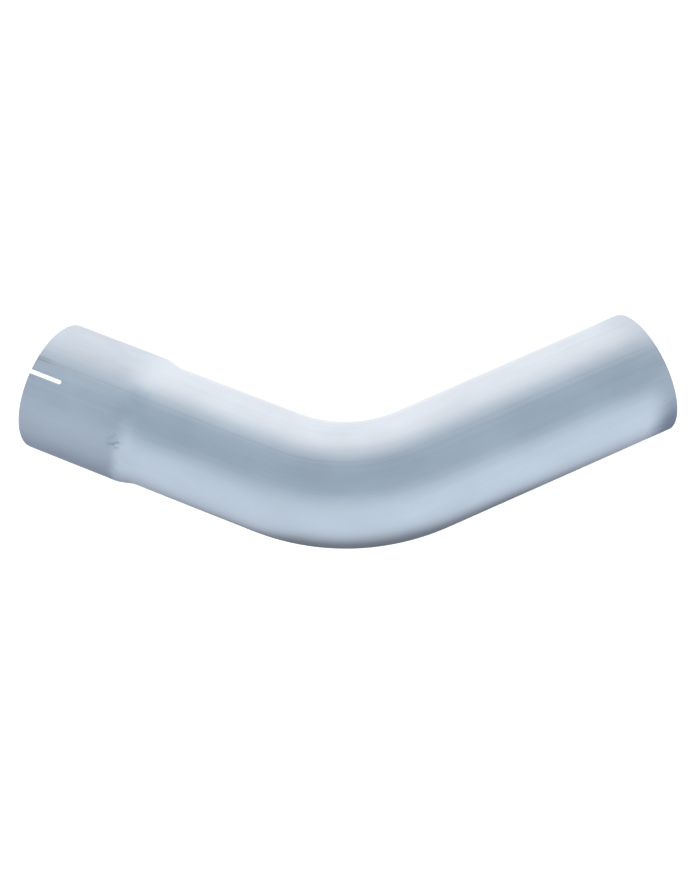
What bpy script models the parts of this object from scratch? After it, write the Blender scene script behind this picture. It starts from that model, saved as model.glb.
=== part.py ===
"""Flue elbow: one mandrel-bent steel tube, 45 degrees, with a plain spigot
end and an expanded, slotted socket end.

The elbow lies on its side with the bend in a horizontal plane. +Z is up, +X
runs from the socket end to the spigot end, and the inside of the bend faces
+Y. The origin is at the centre of the footprint, on the resting surface.
Metres.
"""

import math

import bmesh
import bpy
from mathutils import Matrix, Vector

# ---------------------------------------------------------------- dimensions
TUBE_OD = 0.0889                      # 3 1/2 in tube
WALL = 0.0020                         # 14 gauge
BEND_ANGLE = math.radians(45.0)
BEND_RADIUS = 1.5 * TUBE_OD           # centreline radius of the bend

SOCKET_TO_VERTEX = 0.2270             # rim to the crossing of the two leg axes
SPIGOT_TO_VERTEX = 0.2250

SOCKET_OD = 0.0940                    # bore 90.0 mm, slips over an 88.9 mm tube
SOCKET_DEPTH = 0.0665                 # parallel part of the expanded end
TAPER_LENGTH = 0.0163                 # smooth step back down to the tube

SLOT_WIDTH = 0.0028                   # clamp slots, sawn in from the rim
SLOT_LENGTH = 0.0225                  # rim to the round end of the slot
SLOT_SIDES = 12                       # facets in the slot's half-round end

TUBE_SIDES = 48                       # facets around, a multiple of four
ARC_STEPS = 18
TAPER_STEPS = 6

STEEL_COLOUR = (0.55, 0.62, 0.69, 1.0)
STEEL_ROUGHNESS = 0.38

# --------------------------------------------------------------- derived
HALF = BEND_ANGLE / 2.0
TANGENT = BEND_RADIUS * math.tan(HALF)          # vertex to either end of the arc
SOCKET_DIR = Vector((-math.cos(HALF), math.sin(HALF), 0.0))
SPIGOT_DIR = Vector((math.cos(HALF), math.sin(HALF), 0.0))


def smooth(t):
    """Smooth step from 0 to 1, level at both ends."""
    t = min(max(t, 0.0), 1.0)
    return t * t * (3.0 - 2.0 * t)


def outer_radius(distance):
    """Outer radius at a distance from the socket rim, along the axis."""
    t = smooth((distance - SOCKET_DEPTH) / TAPER_LENGTH)
    return (SOCKET_OD + (TUBE_OD - SOCKET_OD) * t) / 2.0


def centreline():
    """Points and outer radii from the socket rim to the spigot rim.

    The two leg axes cross at the local origin, in the local XY plane.
    """
    points = []
    stations = [0.0]
    stations += [SOCKET_DEPTH + TAPER_LENGTH * i / TAPER_STEPS
                 for i in range(TAPER_STEPS + 1)]
    for d in stations:
        points.append((SOCKET_DIR * (SOCKET_TO_VERTEX - d), outer_radius(d)))
    arc_centre = Vector((0.0, BEND_RADIUS / math.cos(HALF), 0.0))
    for i in range(ARC_STEPS + 1):
        a = -HALF + BEND_ANGLE * i / ARC_STEPS
        p = arc_centre + Vector((math.sin(a), -math.cos(a), 0.0)) * BEND_RADIUS
        points.append((p, TUBE_OD / 2.0))
    points.append((SPIGOT_DIR * SPIGOT_TO_VERTEX, TUBE_OD / 2.0))
    return points


def footprint_offset():
    """Moves the leg vertex so that the bounding box's bottom centre is 0,0,0."""
    sr, tr = SOCKET_OD / 2.0, TUBE_OD / 2.0
    x_low = SOCKET_DIR.x * SOCKET_TO_VERTEX - sr * math.sin(HALF)
    x_high = SPIGOT_DIR.x * SPIGOT_TO_VERTEX + tr * math.sin(HALF)
    y_low = BEND_RADIUS / math.cos(HALF) - BEND_RADIUS - tr
    y_high = max(SOCKET_DIR.y * SOCKET_TO_VERTEX + sr * math.cos(HALF),
                 SPIGOT_DIR.y * SPIGOT_TO_VERTEX + tr * math.cos(HALF))
    return Vector((-(x_low + x_high) / 2.0, -(y_low + y_high) / 2.0, sr))


# --------------------------------------------------------------- helpers
def new_collection(name):
    col = bpy.data.collections.new(name)
    bpy.context.scene.collection.children.link(col)
    return col


def steel_material():
    mat = bpy.data.materials.new("aluminised_steel")
    mat.use_nodes = True
    bsdf = mat.node_tree.nodes["Principled BSDF"]
    bsdf.inputs["Base Color"].default_value = STEEL_COLOUR
    bsdf.inputs["Metallic"].default_value = 1.0
    bsdf.inputs["Roughness"].default_value = STEEL_ROUGHNESS
    mat.diffuse_color = STEEL_COLOUR
    return mat


def curve_to_mesh_object(curve_obj, name):
    """Replaces a curve by the mesh that it makes, in the same place."""
    bpy.context.view_layer.update()
    evaluated = curve_obj.evaluated_get(bpy.context.evaluated_depsgraph_get())
    mesh = bpy.data.meshes.new_from_object(evaluated)
    mesh.name = name
    obj = bpy.data.objects.new(name, mesh)
    obj.matrix_world = curve_obj.matrix_world.copy()
    data = curve_obj.data
    bpy.data.objects.remove(curve_obj)
    bpy.data.curves.remove(data)
    return obj


def tube_surface(collection, location):
    """The tube's outer surface, open at both ends."""
    points = centreline()
    curve = bpy.data.curves.new("tube_path", 'CURVE')
    curve.dimensions = '3D'
    curve.twist_mode = 'Z_UP'
    curve.bevel_depth = TUBE_OD / 2.0
    curve.bevel_resolution = (TUBE_SIDES - 4) // 2
    curve.use_fill_caps = False
    spline = curve.splines.new('POLY')
    spline.points.add(len(points) - 1)
    for spline_point, (p, radius) in zip(spline.points, points):
        spline_point.co = (p.x, p.y, p.z, 1.0)
        spline_point.radius = radius / (TUBE_OD / 2.0)
    path = bpy.data.objects.new("tube_path", curve)
    path.location = location
    collection.objects.link(path)
    tube = curve_to_mesh_object(path, "elbow_tube")
    collection.objects.link(tube)
    return tube


def slot_cutter(collection, location):
    """One long tongue that saws both clamp slots, above and below the axis.

    Its outline is drawn along +X from the socket rim inwards, with a
    half-round end, and it stands through the whole tube.
    """
    half = SLOT_WIDTH / 2.0
    straight = SLOT_LENGTH - half
    overrun = 0.010
    outline = [(-overrun, -half)]
    for i in range(SLOT_SIDES + 1):
        a = -math.pi / 2.0 + math.pi * i / SLOT_SIDES
        outline.append((straight + half * math.cos(a), half * math.sin(a)))
    outline.append((-overrun, half))

    curve = bpy.data.curves.new("slot_outline", 'CURVE')
    curve.dimensions = '2D'
    curve.fill_mode = 'BOTH'
    curve.extrude = SOCKET_OD / 2.0 + 0.010
    spline = curve.splines.new('POLY')
    spline.points.add(len(outline) - 1)
    for spline_point, (x, y) in zip(spline.points, outline):
        spline_point.co = (x, y, 0.0, 1.0)
    spline.use_cyclic_u = True

    flat = bpy.data.objects.new("slot_outline", curve)
    rim = location + SOCKET_DIR * SOCKET_TO_VERTEX
    flat.matrix_world = (Matrix.Translation(rim)
                         @ Matrix.Rotation(-HALF, 4, 'Z'))
    collection.objects.link(flat)
    cutter = curve_to_mesh_object(flat, "slot_cutter")

    bm = bmesh.new()
    bm.from_mesh(cutter.data)
    bmesh.ops.remove_doubles(bm, verts=bm.verts, dist=0.00001)
    bmesh.ops.recalc_face_normals(bm, faces=bm.faces)
    bm.to_mesh(cutter.data)
    bm.free()

    cutter.hide_render = True
    cutter.display_type = 'WIRE'
    collection.objects.link(cutter)
    return cutter


# --------------------------------------------------------------- the elbow
def build():
    for obj in list(bpy.data.objects):
        bpy.data.objects.remove(obj)

    parts = new_collection("flue_elbow")
    cutters = new_collection("cutters")
    location = footprint_offset()

    tube = tube_surface(parts, location)
    tube.data.materials.clear()
    tube.data.materials.append(steel_material())

    shell = tube.modifiers.new("wall", 'SOLIDIFY')
    shell.thickness = WALL
    shell.offset = -1.0
    shell.use_even_offset = True
    shell.use_rim = True

    slots = tube.modifiers.new("clamp_slots", 'BOOLEAN')
    slots.operation = 'DIFFERENCE'
    slots.solver = 'EXACT'
    slots.object = slot_cutter(cutters, location)

    tube.data.shade_smooth()
    tube.data.set_sharp_from_angle(angle=math.radians(30.0))


build()
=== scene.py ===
"""Looks of the flue elbow: a mandrel-bent aluminised steel tube with a slotted, expanded socket end."""
import math

import bmesh
import bpy
import numpy as np
from mathutils import Matrix, Vector


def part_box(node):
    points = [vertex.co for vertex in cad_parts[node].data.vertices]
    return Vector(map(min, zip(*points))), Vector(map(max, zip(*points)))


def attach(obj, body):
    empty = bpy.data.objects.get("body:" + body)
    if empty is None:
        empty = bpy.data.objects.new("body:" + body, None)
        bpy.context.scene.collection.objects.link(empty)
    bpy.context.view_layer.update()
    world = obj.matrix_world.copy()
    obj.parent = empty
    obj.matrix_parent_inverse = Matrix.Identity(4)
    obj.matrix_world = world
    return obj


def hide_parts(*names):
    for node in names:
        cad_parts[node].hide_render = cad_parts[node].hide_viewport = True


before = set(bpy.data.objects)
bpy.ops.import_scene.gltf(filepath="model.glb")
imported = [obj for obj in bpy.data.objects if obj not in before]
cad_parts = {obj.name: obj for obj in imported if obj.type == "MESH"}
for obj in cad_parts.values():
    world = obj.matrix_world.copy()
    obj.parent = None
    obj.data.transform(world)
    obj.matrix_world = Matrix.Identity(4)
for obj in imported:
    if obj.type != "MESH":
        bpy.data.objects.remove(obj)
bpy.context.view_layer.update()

# ------------------------------------------------------------------ the tube's own geometry (mm, from the CAD model)
OD, WALL, SOCKET_OD = 88.9, 2.0, 94.0
BEND_R = 1.5 * OD
HALF = math.radians(22.5)
LS, LT = 227.0, 225.0                       # leg axes, vertex to rim
DEPTH, TAPER = 66.5, 16.3
SLOT_W, SLOT_L = 2.8, 22.5
TAN = BEND_R * math.tan(HALF)
S1 = LS - TAN                               # distance from the socket rim to the start of the arc
S2 = S1 + BEND_R * 2 * HALF                 # end of the arc
S3 = S2 + LT - TAN                          # spigot rim
SEAM = 77.3                                 # degrees: the tube's own weld line

# the leg axes' crossing, in the row frame, set from the CAD node's box
node_lo, node_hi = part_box("elbow_tube")
VX = node_lo[0] * 1000 + LS * math.cos(HALF) + SOCKET_OD / 2 * math.sin(HALF)
VY = node_lo[1] * 1000 + OD / 2 - (BEND_R / math.cos(HALF) - BEND_R)
VZ = node_lo[2] * 1000 + SOCKET_OD / 2
ARC_C = np.array([VX, VY + BEND_R / math.cos(HALF), VZ])


def smooth(t):
    t = np.clip(t, 0.0, 1.0)
    return t * t * (3 - 2 * t)


def bump1(x, centre, width):
    return np.exp(-((x - centre) / width) ** 2)


def axis_frame(s):
    """Centre, tangent and in-plane normal (towards the inside of the bend) at distance s from the socket rim."""
    a = np.clip((s - S1) / BEND_R, 0, 2 * HALF) - HALF
    t = np.stack([np.cos(a), np.sin(a), 0 * a], -1)
    c = ARC_C + BEND_R * np.stack([np.sin(a), -np.cos(a), 0 * a], -1)
    over = np.where(s < S1, s - S1, np.where(s > S2, s - S2, 0.0))
    c = c + over[..., None] * t
    n = np.stack([-t[..., 1], t[..., 0], 0 * a], -1)
    return c, t, n


def nominal(s):
    """Outer radius before the small forming marks: level, then a straight taper with rounded corners, then level."""
    w = 0
    for k in np.linspace(-1, 1, 9):
        w = w + np.clip((s - DEPTH - TAPER / 2 + 1.9 * k) / (0.67 * TAPER) + 0.5, 0, 1) / 9
    return (SOCKET_OD + (OD - SOCKET_OD) * w) / 2


def outer_r(s, phi):
    """Outer radius with what forming leaves on a real tube: expander flats, die witness marks."""
    deg = np.degrees(phi)
    r = nominal(s)
    in_socket = 1 - smooth((s - DEPTH + 2) / (TAPER * 0.8))
    r = r + 0.045 * in_socket * np.cos(10 * phi + 0.6) * smooth(s / 6)
    r = r + 0.035 * in_socket * np.cos(3 * phi + 2.1)
    r = r - 0.10 * bump1(s, DEPTH + TAPER + 2.5, 3.0)                    # the slight dip behind the expanded shoulder
    r = r + 0.06 * bump1(s, DEPTH - 2.0, 2.4)
    inner_side = np.clip(np.cos(phi), 0, 1) ** 2
    for k, s0 in enumerate((S1 - 4.0, S2 + 5.0)):
        r = r + (0.055 - 0.02 * k) * bump1(s, s0, 1.6) * (0.25 + 0.75 * inner_side)
    # long, barely visible waves that rolled tube keeps
    r = r + 0.012 * np.sin(2 * phi + s / 61.0) + 0.010 * np.sin(5 * phi - s / 47.0)
    dseam = (deg - SEAM + 180) % 360 - 180
    r = r - 0.030 * bump1(dseam, 0, 0.9)
    return r


def inner_r(s, phi):
    deg = np.degrees(phi)
    in_bend = smooth((s - S1) / 25) * (1 - smooth((s - S2 + 25) / 25))
    r = outer_r(s, phi) - WALL + 0.16 * in_bend * -np.cos(phi)           # the wall thins on the outside of the bend
    dseam = (deg - SEAM + 180) % 360 - 180
    bead = 0.55 * bump1(dseam, 0, 1.15) * (0.25 + 0.75 * smooth((s - DEPTH) / TAPER))
    return r - bead


# ------------------------------------------------------------------ the mesh
def phi_lines():
    lines = set(np.round(np.arange(0, 360, 2.5), 3))
    for d in (-1.8, -1.2, -0.6, 0.0, 0.6, 1.2, 1.8):
        lines.add(round(SEAM + d, 3))
    for near in (75.0, 77.5, 80.0):
        lines.discard(near)
    lines |= {74.9, 80.0}
    return np.array(sorted(lines))


def s_lines():
    c = SLOT_L - SLOT_W / 2
    out = [0, 0.9, 2, 3.5, 5.5, 8, 11, 14, 17, c - 1.5, c, c + 2, c + 4, c + 6]
    out += list(np.arange(30, 62, 2.5)) + [62.5, 64, 65.3]
    out += list(DEPTH + TAPER * np.linspace(0, 1, 17))
    out += [84, 85.4, 87, 89, 92] + list(np.arange(96, S1 - 10, 5.0))
    out += list(np.arange(S1 - 8, S1 + 0.1, 0.8)) + list(S1 + (S2 - S1) * np.linspace(0, 1, 43)[1:])
    out += list(S2 + np.arange(0.8, 9.5, 0.8)) + list(np.arange(S2 + 13, S3 - 14, 5.0))
    out += [S3 - 10, S3 - 7, S3 - 4.5, S3 - 2.5, S3 - 0.9, S3]
    return np.array(sorted(set(np.round(out, 4)))), c


PHI = phi_lines()
SL, SLOT_C = s_lines()
JC = int(np.argmin(abs(SL - SLOT_C)))
JW = JC + 3
HALF_WIN = 7.5


def slot_windows():
    out = []
    for centre in (90.0, 270.0):
        i0 = int(np.argmin(abs(PHI - (centre - HALF_WIN))))
        i1 = int(np.argmin(abs(PHI - (centre + HALF_WIN))))
        out.append((centre, i0, i1))
    return out


def build_tube():
    ns, nf = len(SL), len(PHI)
    coords = []                                     # (s, phi in radians, lateral offset or None, centre)
    index = {}

    def vert(s, phi):
        coords.append((s, phi, None, None))
        return len(coords) - 1

    def vert_slot(s, y, centre):
        coords.append((s, None, y, math.radians(centre)))
        return len(coords) - 1

    windows = slot_windows()
    hidden = set()
    for centre, i0, i1 in windows:
        for j in range(JW):
            for i in range(i0 + 1, i1):
                hidden.add((j, i))
    for j in range(ns):
        for i in range(nf):
            if (j, i) not in hidden:
                index[j, i] = vert(SL[j], math.radians(PHI[i]))
    faces = []
    for j in range(ns - 1):
        for i in range(nf):
            k = (i + 1) % nf
            if any(i0 <= i < i1 and j < JW for _, i0, i1 in windows):
                continue
            faces.append((index[j, i], index[j, k], index[j + 1, k], index[j + 1, i]))

    half = SLOT_W / 2
    layers = (0.0, 0.14, 0.38, 0.68, 1.0)
    for centre, i0, i1 in windows:
        path = [(j, i1) for j in range(JW + 1)]
        path += [(JW, i) for i in range(i1 - 1, i0, -1)]
        path += [(j, i0) for j in range(JW, -1, -1)]
        n_round = len(path) - 2 * (JC + 1) + 1          # segments round the slot's end
        slot = [(SL[j], half) for j in range(JC + 1)]
        for m in range(1, n_round):
            a = math.pi / 2 - math.pi * m / n_round
            slot.append((SLOT_C + half * math.cos(a), half * math.sin(a)))
        slot += [(SL[j], -half) for j in range(JC, -1, -1)]
        assert len(slot) == len(path)
        rows = []
        for (j, i), (s0, y0) in zip(path, slot):
            r = SOCKET_OD / 2
            s1, y1 = SL[j], r * math.sin(math.radians(PHI[i] - centre))
            row = []
            for w in layers[:-1]:
                row.append(vert_slot(s0 + (s1 - s0) * w, y0 + (y1 - y0) * w, centre))
            row.append(index[j, i])
            rows.append(row)
        for a, b in zip(rows[:-1], rows[1:]):
            for q in range(len(layers) - 1):
                faces.append((a[q], a[q + 1], b[q + 1], b[q]))

    n = len(coords)
    s = np.array([c[0] for c in coords])
    sides = []
    for inner in (False, True):
        phi = np.zeros(n)
        for q, c in enumerate(coords):
            if c[1] is not None:
                phi[q] = c[1]
            else:
                rr = SOCKET_OD / 2 - (WALL if inner else 0)
                phi[q] = c[3] + math.asin(c[2] / rr)
        r = inner_r(s, phi) if inner else outer_r(s, phi)
        c, t, nn = axis_frame(s)
        e = np.cos(phi)[:, None] * nn + np.sin(phi)[:, None] * np.array([0, 0, 1.0])
        pos = c + r[:, None] * e
        own = np.stack([s, r * np.cos(phi), r * np.sin(phi)], -1)
        sides.append((pos, own))

    pos = np.concatenate([sides[0][0], sides[1][0]]) / 1000.0
    own = np.concatenate([sides[0][1], sides[1][1]])
    outer = [tuple(f) for f in faces]
    inner = [tuple(n + v for v in reversed(f)) for f in faces]

    used = {}
    for f in outer:
        for a, b in zip(f, f[1:] + f[:1]):
            used[a, b] = used.get((a, b), 0) + 1
    directed = {}
    for f in outer:
        for a, b in zip(f, f[1:] + f[:1]):
            directed.setdefault(frozenset((a, b)), []).append((a, b))
    walls = []
    for key, uses in directed.items():
        if len(uses) == 1:
            a, b = uses[0]
            walls.append((b, a, n + a, n + b))

    mesh = bpy.data.meshes.new("elbow_tube_skin")
    mesh.from_pydata([tuple(p) for p in pos], [], outer + inner + walls)
    attr = mesh.attributes.new("tube_co", 'FLOAT_VECTOR', 'POINT')
    attr.data.foreach_set("vector", own.astype(np.float32).ravel())
    kind = np.array([0] * len(outer) + [1] * len(inner) + [2] * len(walls), dtype=np.int32)
    mesh.polygons.foreach_set("material_index", kind)
    mesh.update()

    bm = bmesh.new()
    bm.from_mesh(mesh)
    bmesh.ops.recalc_face_normals(bm, faces=bm.faces)
    bm.to_mesh(mesh)
    bm.free()
    mesh.shade_smooth()
    obj = bpy.data.objects.new("elbow_tube_skin", mesh)
    bpy.context.scene.collection.objects.link(obj)

    edge = obj.modifiers.new("deburred_edges", 'BEVEL')
    edge.limit_method = 'ANGLE'
    edge.angle_limit = math.radians(50)
    edge.width = 0.00022
    edge.segments = 3
    edge.harden_normals = True
    edge.use_clamp_overlap = True
    return obj


# ------------------------------------------------------------------ node helpers
class Graph:
    def __init__(self, tree):
        self.t = tree

    def node(self, kind, **props):
        n = self.t.nodes.new(kind)
        for k, v in props.items():
            setattr(n, k, v)
        return n

    def put(self, socket, value):
        if isinstance(value, bpy.types.NodeSocket):
            self.t.links.new(value, socket)
        else:
            socket.default_value = value

    def math(self, op, a, b=0.0, c=None, clamp=False):
        n = self.node('ShaderNodeMath', operation=op, use_clamp=clamp)
        self.put(n.inputs[0], a)
        self.put(n.inputs[1], b)
        if c is not None:
            self.put(n.inputs[2], c)
        return n.outputs[0]

    def mul(self, a, b): return self.math('MULTIPLY', a, b)
    def add(self, a, b): return self.math('ADD', a, b)
    def sub(self, a, b): return self.math('SUBTRACT', a, b)

    def ramp01(self, x, lo, hi, to_lo=0.0, to_hi=1.0, kind='SMOOTHSTEP'):
        n = self.node('ShaderNodeMapRange', interpolation_type=kind)
        for name, v in zip(("Value", "From Min", "From Max", "To Min", "To Max"), (x, lo, hi, to_lo, to_hi)):
            self.put(n.inputs[name], v)
        return n.outputs[0]

    def gauss(self, x, centre, width):
        d = self.math('DIVIDE', self.sub(x, centre), width)
        return self.math('EXPONENT', self.mul(self.mul(d, d), -1.0))

    def scale(self, vec, sx, sy, sz, offset=(0, 0, 0)):
        n = self.node('ShaderNodeVectorMath', operation='MULTIPLY_ADD')
        self.put(n.inputs[0], vec)
        n.inputs[1].default_value = (sx, sy, sz)
        n.inputs[2].default_value = offset
        return n.outputs[0]

    def noise(self, vec, detail=3.0, rough=0.5, distortion=0.0):
        n = self.node('ShaderNodeTexNoise')
        self.put(n.inputs["Vector"], vec)
        n.inputs["Scale"].default_value = 1.0
        n.inputs["Detail"].default_value = detail
        n.inputs["Roughness"].default_value = rough
        n.inputs["Distortion"].default_value = distortion
        return n.outputs[0]

    def mix(self, t, a, b):
        return self.add(a, self.mul(t, self.sub(b, a)))

    def centred(self, x, gain=1.0):
        return self.mul(self.sub(x, 0.5), gain)

    def tint(self, degrees, table, amount):
        """White where amount is 0, and the table's colour (by angle, 0 to 180) where it is 1."""
        n = self.node('ShaderNodeValToRGB')
        n.color_ramp.interpolation = 'LINEAR'
        stops = n.color_ramp.elements
        while len(stops) > 1:
            stops.remove(stops[-1])
        for k, (deg, rgb) in enumerate(table):
            e = stops[0] if k == 0 else stops.new(deg / 180)
            e.position = deg / 180
            e.color = tuple(c / 1.25 for c in rgb) + (1,)
        self.put(n.inputs[0], self.math('DIVIDE', degrees, 180.0))
        m = self.node('ShaderNodeMix', data_type='RGBA')
        self.put(m.inputs["Factor"], amount)
        m.inputs["A"].default_value = (0.8, 0.8, 0.8, 1)
        self.put(m.inputs["B"], n.outputs[0])
        out = self.node('ShaderNodeVectorMath', operation='SCALE')
        self.put(out.inputs[0], m.outputs["Result"])
        out.inputs["Scale"].default_value = 1.25
        return out.outputs[0]


# a faint stain and painted shade at either end, by angle from the inside of the bend; the strong darkening towards the
# outside of the bend is painted shade
SOCKET_STAIN_AND_SHADE = [(0, (0.92, 0.93, 0.95)), (95, (1.0, 1.0, 1.0)), (165, (0.56, 0.58, 0.62))]
TIP_STAIN_AND_SHADE = [(0, (0.95, 0.95, 0.97)), (60, (1.0, 1.0, 1.0)), (105, (1.0, 1.0, 1.0)), (150, (0.42, 0.44, 0.50))]



def steel(name, colour, rough, inside=False):
    mat = bpy.data.materials.new(name)
    mat.use_nodes = True
    tree = mat.node_tree
    g = Graph(tree)
    bsdf = tree.nodes["Principled BSDF"]
    own = g.node('ShaderNodeAttribute', attribute_name="tube_co").outputs["Vector"]
    xyz = g.node('ShaderNodeSeparateXYZ')
    g.put(xyz.inputs[0], own)
    s, y, z = xyz.outputs
    phi = g.mul(g.math('ARCTAN2', z, y), 180 / math.pi)          # degrees, -180..180

    # what the mill leaves: lines drawn along the tube, clouds in the coating, fine grain
    lines = g.noise(g.scale(own, 0.010, 1.5, 1.5), 3.0, 0.62)
    streaks = g.noise(g.scale(own, 0.0055, 0.30, 0.30, (7.1, 3.3, 1.7)), 3.0, 0.55)
    clouds = g.noise(g.scale(own, 0.020, 0.030, 0.030, (2.0, 9.0, 4.0)), 3.0, 0.5)
    grain = g.noise(g.scale(own, 0.9, 0.9, 0.9, (5.0, 1.0, 8.0)), 2.0, 0.6)

    near_seam = g.gauss(phi, 71.0, 13.0)
    tone = g.add(g.mul(g.centred(lines, 0.09), g.add(0.30, near_seam)), g.centred(streaks, 0.10))
    tone = g.add(tone, g.centred(clouds, 0.26))
    tone = g.add(tone, g.centred(grain, 0.03))
    rgh = g.add(g.centred(lines, 0.05), g.centred(streaks, 0.10))
    rgh = g.add(rgh, g.centred(clouds, 0.14))

    # the expanded end is duller where the expander stretched the coating, with blotches
    ragged = g.add(s, g.centred(g.noise(g.scale(own, 0.06, 0.08, 0.08, (1.0, 2.0, 6.0)), 3.0, 0.5), 9.0))
    socket = g.mix(g.ramp01(phi, 84.0, 108.0), g.ramp01(ragged, DEPTH - 16.0, DEPTH + 15.0, 1.0, 0.0), g.ramp01(ragged, DEPTH - 1.0, DEPTH + 10.0, 1.0, 0.0))
    mottle = g.noise(g.scale(own, 0.045, 0.10, 0.10, (3.0, 3.0, 1.0)), 4.0, 0.6)
    tone = g.add(tone, g.mul(socket, g.add(g.centred(mottle, 0.16), -0.02)))
    rgh = g.add(rgh, g.mul(socket, g.add(g.centred(mottle, 0.10), 0.16)))

    # the last of the spigot end, a little darker and rougher
    tip = g.ramp01(g.add(s, g.centred(mottle, 10.0)), S3 - 24.0, S3 - 3.0)
    tone = g.add(tone, g.mul(tip, -0.05))
    rgh = g.add(rgh, g.mul(tip, 0.16))
    # both ends carry a faint stain and painted shade, the painted shade heavy towards the outside of the bend
    away = g.math('ABSOLUTE', g.add(phi, g.centred(mottle, 9.0)))
    rim = g.ramp01(g.add(g.add(s, g.centred(streaks, 6.0)), g.ramp01(away, 122.0, 165.0, 1.0, 6.0)), S3 - 19.0, S3 + 1.0)
    rim = g.mix(g.ramp01(away, 96.0, 122.0), g.ramp01(s, S3 - 38.0, S3 - 2.0), rim)
    stain_and_shade = g.node('ShaderNodeVectorMath', operation='MULTIPLY')
    g.put(stain_and_shade.inputs[0], g.tint(away, SOCKET_STAIN_AND_SHADE, socket))
    g.put(stain_and_shade.inputs[1], g.tint(away, TIP_STAIN_AND_SHADE, rim))

    # the tube's weld line, planished flush outside
    seam = g.gauss(phi, SEAM, 0.55)
    seam = g.mul(seam, g.ramp01(g.noise(g.scale(own, 0.022, 0.0, 0.0, (4.4, 0, 0)), 2.0, 0.6), 0.32, 0.66, 0.25, 1.25))
    tone = g.add(tone, g.mul(seam, -0.07))
    rgh = g.add(rgh, g.mul(seam, 0.05))

    height = g.add(g.mul(g.centred(lines), 0.010), g.mul(g.centred(grain), 0.0035))
    height = g.add(height, g.mul(g.mul(socket, g.centred(mottle)), 0.07))
    height = g.add(height, g.mul(g.centred(clouds), 0.05))

    if not inside:
        # a dark drag line either side of the seam near the socket rim
        fade = g.ramp01(s, 8.0, 42.0, 1.0, 0.0)
        drag = g.add(g.gauss(phi, 78.3, 0.55), g.mul(g.gauss(phi, 75.9, 0.45), 0.8))
        drag = g.add(g.mul(drag, fade), g.mul(g.gauss(phi, 77.0, 2.6), g.mul(fade, 0.22)))
        drag = g.add(g.mul(drag, 0.6), g.mul(drag, g.ramp01(s, 5.0, 16.0, 0.9, 0.0)))
        tone = g.add(tone, g.mul(drag, -0.17))
        # a soft smudge over the shoulder
        sm = g.mul(g.gauss(s, 70.0, 9.0), g.gauss(phi, 90.0, 14.0))
        tone = g.add(tone, g.mul(sm, g.add(g.centred(mottle, 0.10), -0.055)))
        # a painted highlight on the shoulder, towards the inside of the bend
        shoulder_highlight = g.mul(g.gauss(s, 74.0, 7.5), g.gauss(phi, 66.0, 9.0))
        tone = g.add(tone, g.mul(shoulder_highlight, 0.19))
        # a small pitted patch in the coating, below the shoulder
        patch = g.math('MINIMUM', g.mul(g.mul(g.gauss(s, 69.3, 4.0), g.gauss(phi, 120.0, 5.2)), 1.6), 1.0)
        pits = g.ramp01(g.noise(g.scale(own, 0.30, 0.52, 0.52, (0.4, 0.2, 0.9)), 3.0, 0.65), 0.50, 0.62)
        pit = g.mul(patch, pits)
        tone = g.add(tone, g.mul(pit, -0.24))
        tone = g.add(tone, g.mul(patch, -0.03))
        # pale flecks near the socket rim: painted glints on the side towards the inside of the bend
        fleck = g.noise(g.scale(own, 0.22, 1.5, 1.5, (8.0, 0.5, 3.0)), 2.0, 0.6)
        fleck = g.mul(g.ramp01(fleck, 0.56, 0.66), g.mul(g.ramp01(s, 2.5, 9.0, 1.0, 0.0), g.gauss(phi, 42.0, 24.0)))
        tone = g.add(tone, g.mul(fleck, 0.17))
        rgh = g.add(rgh, g.mul(pit, 0.10))
        height = g.add(height, g.mul(pit, -0.05))
        # nicks near the spigot rim
        for s0, ds, p0 in ((S3 - 6.5, 1.8, 109.5), (S3 - 5.2, 2.4, 131.0), (S3 - 7.6, 1.5, 127.0), (S3 - 3.2, 1.2, 96.0)):
            nick = g.mul(g.gauss(s, s0, ds), g.gauss(phi, g.add(p0, g.mul(g.sub(s, s0), -0.12)), 0.30))
            tone = g.add(tone, g.mul(nick, -0.16))
            height = g.add(height, g.mul(nick, -0.03))

    # sparse hairline scratches, mostly along the tube
    hair = g.noise(g.scale(own, 0.030, 2.6, 2.6, (9.0, 4.0, 2.0)), 2.0, 0.5, 0.6)
    hair = g.mul(g.gauss(hair, 0.5, 0.006), g.ramp01(clouds, 0.5, 0.66))
    tone = g.add(tone, g.mul(hair, -0.05))

    gain = g.add(tone, 1.0)
    coat = g.node('ShaderNodeVectorMath', operation='MULTIPLY')
    g.put(coat.inputs[0], stain_and_shade.outputs[0])
    coat.inputs[1].default_value = colour[:3]
    mix = g.node('ShaderNodeVectorMath', operation='SCALE')
    g.put(mix.inputs[0], coat.outputs[0])
    g.put(mix.inputs["Scale"], gain)
    # thicker coating reads warmer, rubbed coating cooler
    hue = g.node('ShaderNodeMix', data_type='RGBA', blend_type='MULTIPLY')
    hue.inputs["Factor"].default_value = 1.0
    g.put(hue.inputs["A"], mix.outputs[0])
    tint = g.node('ShaderNodeMix', data_type='RGBA')
    g.put(tint.inputs["Factor"], g.ramp01(streaks, 0.25, 0.75))
    tint.inputs["A"].default_value = (1.0, 0.992, 0.985, 1)
    tint.inputs["B"].default_value = (0.985, 0.996, 1.0, 1)
    g.put(hue.inputs["B"], tint.outputs["Result"])
    g.put(bsdf.inputs["Base Color"], hue.outputs["Result"])
    g.put(bsdf.inputs["Roughness"], g.math('MINIMUM', g.math('MAXIMUM', g.add(rgh, rough), 0.12), 0.85))
    bsdf.inputs["Metallic"].default_value = 1.0

    bump = g.node('ShaderNodeBump')
    bump.inputs["Strength"].default_value = 1.0
    bump.inputs["Distance"].default_value = 0.001            # heights above are in millimetres
    g.put(bump.inputs["Height"], height)
    g.put(bsdf.inputs["Normal"], bump.outputs[0])
    return mat


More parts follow.
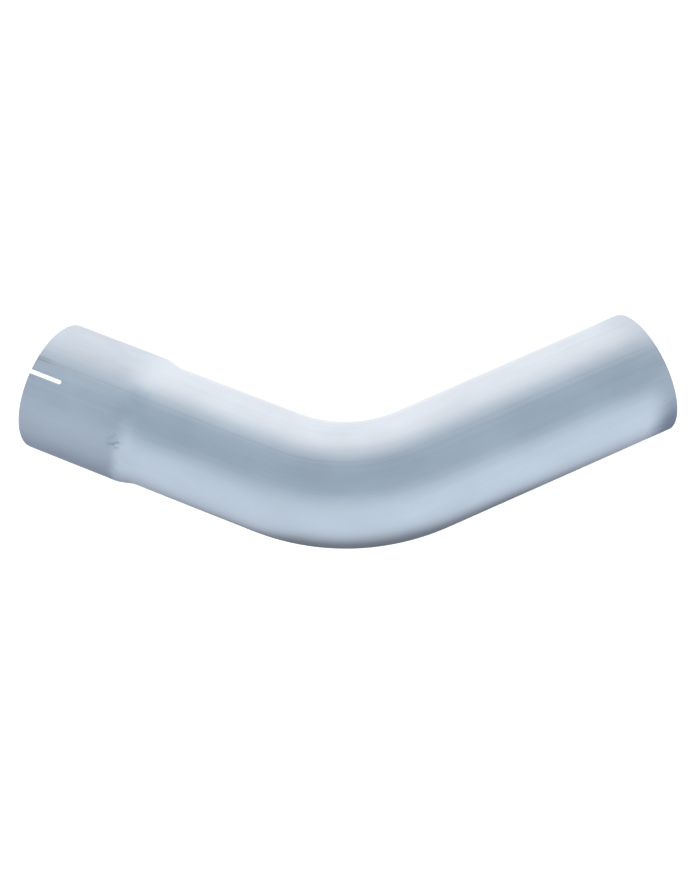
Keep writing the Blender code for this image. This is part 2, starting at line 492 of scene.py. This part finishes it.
def cut_steel():
    """Sawn and deburred edges: bare steel, with marks across the wall."""
    mat = bpy.data.materials.new("cut_steel")
    mat.use_nodes = True
    g = Graph(mat.node_tree)
    bsdf = mat.node_tree.nodes["Principled BSDF"]
    own = g.node('ShaderNodeAttribute', attribute_name="tube_co").outputs["Vector"]
    saw = g.noise(g.scale(own, 2.5, 0.25, 4.0), 3.0, 0.65)
    fleck = g.noise(g.scale(own, 0.8, 0.8, 0.8), 2.0, 0.5)
    tone = g.add(g.add(g.centred(saw, 0.25), g.centred(fleck, 0.15)), 1.0)
    mix = g.node('ShaderNodeVectorMath', operation='SCALE')
    mix.inputs[0].default_value = (0.60, 0.63, 0.67)
    g.put(mix.inputs["Scale"], tone)
    g.put(bsdf.inputs["Base Color"], mix.outputs[0])
    g.put(bsdf.inputs["Roughness"], g.add(g.centred(saw, 0.2), 0.40))
    bsdf.inputs["Metallic"].default_value = 1.0
    bump = g.node('ShaderNodeBump')
    bump.inputs["Distance"].default_value = 0.001
    g.put(bump.inputs["Height"], g.mul(g.centred(saw), 0.03))
    g.put(bsdf.inputs["Normal"], bump.outputs[0])
    return mat


# ------------------------------------------------------------------ the elbow
tube = build_tube()
tube.data.materials.append(steel("aluminised_steel", (0.82, 0.865, 0.91), 0.33))
# the bore gets a darker copy of the outer colour: painted shade inside the tube
tube.data.materials.append(steel("aluminised_steel_bore", (0.70, 0.735, 0.77), 0.42, inside=True))
tube.data.materials.append(cut_steel())
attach(tube, "root")
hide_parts("elbow_tube")
tube.visible_shadow = False                      # the softbox below is shadowless, like a lit sweep table

# ------------------------------------------------------------------ floor, light, camera
floor_mesh = bpy.data.meshes.new("floor")
bm = bmesh.new()
bmesh.ops.create_grid(bm, x_segments=1, y_segments=1, size=6.0)
bm.to_mesh(floor_mesh)
bm.free()
floor = bpy.data.objects.new("floor", floor_mesh)
floor.location = (0, 0, -0.0002)
bpy.context.scene.collection.objects.link(floor)
fm = bpy.data.materials.new("pale_floor")
fm.use_nodes = True
fm.node_tree.nodes["Principled BSDF"].inputs["Base Color"].default_value = (0.90, 0.90, 0.90, 1)
fm.node_tree.nodes["Principled BSDF"].inputs["Roughness"].default_value = 0.9
fm.node_tree.nodes["Principled BSDF"].inputs["Specular IOR Level"].default_value = 0.2
floor_mesh.materials.append(fm)
floor.visible_glossy = False
floor.visible_shadow = False

# studio surroundings, round the X axis: angle 0 is overhead, positive towards +Y
FAR_LOW = (0.96, 0.98, 1.0)
FAR_PANEL = (0.76, 0.81, 0.88)
GAP = (0.30, 0.38, 0.47)
NEAR_PANEL = (0.51, 0.60, 0.71)
BELOW = (0.25, 0.28, 0.34)
SWEEP = [(-180, FAR_LOW), (-172, BELOW), (-150, BELOW), (-105, NEAR_PANEL), (-48, NEAR_PANEL), (-18, GAP), (32, GAP),
         (72, FAR_PANEL), (130, FAR_PANEL), (165, FAR_LOW)]
STEEL = (0.82, 0.865, 0.91)
world = bpy.data.worlds.new("studio")
bpy.context.scene.world = world
world.use_nodes = True
g = Graph(world.node_tree)
bg = world.node_tree.nodes["Background"]
direction = g.node('ShaderNodeTexCoord').outputs["Generated"]
d = g.node('ShaderNodeSeparateXYZ')
g.put(d.inputs[0], direction)
psi = g.math('ARCTAN2', d.outputs["Y"], d.outputs["Z"])
where = g.ramp01(psi, -math.pi, math.pi, kind='LINEAR')
ramp = g.node('ShaderNodeValToRGB')
ramp.color_ramp.interpolation = 'LINEAR'
elems = ramp.color_ramp.elements
TOP = 1.5
while len(elems) > 1:
    elems.remove(elems[-1])
for k, (deg, rgb) in enumerate(SWEEP):
    e = elems[0] if k == 0 else elems.new((deg + 180) / 360)
    e.position = (deg + 180) / 360
    e.color = tuple(c / a / TOP for c, a in zip(rgb, STEEL)) + (1,)
g.put(ramp.inputs[0], where)
# low on the near side it is darkest straight ahead and lighter towards either end
low = g.mul(g.ramp01(psi, math.radians(-96), math.radians(-150), 0.0, 0.60), g.ramp01(psi, -math.pi, math.radians(-172)))
across = g.ramp01(g.math('ABSOLUTE', g.sub(d.outputs["X"], 0.05)), 0.26, 0.50, -1.0, 0.62)
shade = g.node('ShaderNodeVectorMath', operation='SCALE')
g.put(shade.inputs[0], ramp.outputs[0])
ends = g.add(1.0, g.mul(d.outputs["X"], g.add(0.045, g.mul(d.outputs["X"], 0.04))))
g.put(shade.inputs["Scale"], g.mul(ends, g.add(1.0, g.mul(low, across))))
g.put(bg.inputs["Color"], shade.outputs[0])
bg.inputs["Strength"].default_value = TOP

# overhead softbox, for the floor only
key = bpy.data.lights.new("overhead_softbox", 'AREA')
key.shape = 'RECTANGLE'
key.size, key.size_y = 3.0, 3.0
key.energy = 68
key_obj = bpy.data.objects.new("overhead_softbox", key)
key_obj.location = (0, -0.05, 2.0)
key_obj.visible_glossy = False
bpy.context.scene.collection.objects.link(key_obj)

cam_data = bpy.data.cameras.new("camera")
cam_data.sensor_width = 36.0
cam_data.lens = 33.647
cam_data.shift_x, cam_data.shift_y = -0.5 / 869, 0.5 / 869
cam_data.clip_start, cam_data.clip_end = 0.01, 50
cam = bpy.data.objects.new("camera", cam_data)
right = Vector((0.99945852, -0.01992546, -0.02618486))
up = Vector((0.02396961, 0.98607845, 0.16454405))
back = Vector((0.02254171, -0.1650826, 0.98602211))
m = Matrix((right, up, back)).transposed().to_4x4()
m.translation = Vector((0.01549382, -0.09701065, 0.61387364))
cam.matrix_world = m
bpy.context.scene.collection.objects.link(cam)
bpy.context.scene.camera = cam

scene = bpy.context.scene
scene.view_settings.view_transform = 'Standard'
scene.view_settings.look = 'None'
